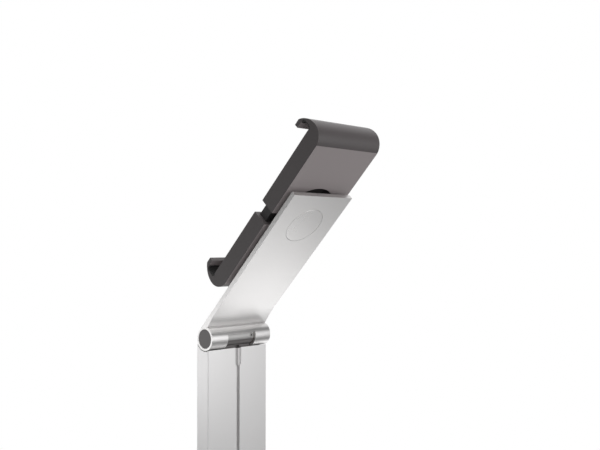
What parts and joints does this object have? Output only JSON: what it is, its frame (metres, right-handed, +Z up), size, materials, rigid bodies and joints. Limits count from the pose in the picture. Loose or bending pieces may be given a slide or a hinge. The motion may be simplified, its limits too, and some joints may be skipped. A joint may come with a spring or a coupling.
{
  "type": "adjustable tablet floor stand",
  "caption": "Floor stand with a flat base, a slim column and a tilting arm whose turning holder grips a tablet between two sliding hook jaws.",
  "frame": {"origin": "middle of the floor face under the base plate's pads", "axes": "+Z up, -Y towards the user who reads the tablet, X along the hinge"},
  "size_m": [0.3, 0.32, 1.2172],
  "materials": {
    "base_paint": "fine satin powder coat",
    "satin_aluminium": "satin anodised",
    "arm_aluminium": "satin anodised",
    "cap_aluminium": "fine satin",
    "block_metal": "satin dark coat",
    "knuckle_metal": "satin",
    "screw_steel": "satin",
    "bush_bronze": "machined",
    "plug_plastic": "matte moulded",
    "jaw_plastic": "fine matte texture",
    "core_plastic": "matte",
    "pad_rubber": "matte",
    "nylon": "machined"
  },
  "bodies": {
    "stand": {"base_plate": "base_paint", "floor_pads": "pad_rubber", "base_screws": "screw_steel", "column": "satin_aluminium", "column_feet": "block_metal", "foot_screws": "screw_steel", "hinge_block": "block_metal", "block_screws": "screw_steel", "knuckle_cap": "knuckle_metal", "cap_screws": "screw_steel", "hinge_shaft": "screw_steel", "knuckle_set_screw": "screw_steel", "thrust_washers": "screw_steel", "hinge_disc_springs": "screw_steel", "hinge_nuts": "screw_steel"},
    "arm": {"arm": "arm_aluminium", "friction_bushes": "bush_bronze", "barrel_end_plugs": "plug_plastic", "swivel_disc": "block_metal", "swivel_screws": "screw_steel", "pivot_cap": "cap_aluminium", "friction_washer": "nylon", "pivot_spring": "screw_steel", "pivot_nut": "bush_bronze"},
    "holder": {"holder_core": "core_plastic", "core_cover": "core_plastic", "cover_screws": "screw_steel"},
    "upper_jaw": {"upper_jaw": "jaw_plastic", "upper_rack": "screw_steel", "upper_rack_screws": "screw_steel", "upper_grip_pad": "pad_rubber"},
    "lower_jaw": {"lower_jaw": "jaw_plastic", "lower_rack": "screw_steel", "lower_rack_screws": "screw_steel", "lower_grip_pad": "pad_rubber"},
    "pinion": {"pinion": "bush_bronze"},
    "lock_screw": {"lock_screw": "screw_steel", "lock_tip": "nylon"}
  },
  "joints": [
    {"name": "arm_tilt", "type": "hinge", "parent": "stand", "child": "arm", "pos_m": [0, 0.003, 1.03], "axis": [-1, 0, 0], "range_deg": [-44, 46]},
    {"name": "holder_turn", "type": "hinge", "parent": "arm", "child": "holder", "pos_m": [0, 0.08496, 1.14004], "axis": [0, -0.7157, 0.6984], "continuous": true},
    {"name": "upper_jaw_slide", "type": "slide", "parent": "holder", "child": "upper_jaw", "axis": [0, 0.6984, 0.7157], "range_m": [-0.004, 0.025]},
    {"name": "lower_jaw_slide", "type": "slide", "parent": "holder", "child": "lower_jaw", "axis": [0, -0.6984, -0.7157], "range_m": [-0.004, 0.025]},
    {"name": "pinion_turn", "type": "hinge", "parent": "holder", "child": "pinion", "pos_m": [0, 0.0816, 1.14333], "axis": [0, -0.7157, 0.6984], "range_deg": [-21, 131]},
    {"name": "lock_screw_turn", "type": "hinge", "parent": "holder", "child": "lock_screw", "pos_m": [-0.028, 0.08149, 1.14343], "axis": [-1, 0, 0], "range_deg": [0, 720]}
  ],
  "couplings": [
    {"joint": "lower_jaw_slide", "follows": "upper_jaw_slide", "ratio": 1},
    {"joint": "pinion_turn", "follows": "upper_jaw_slide", "rad_per_m": 90.909}
  ]
}
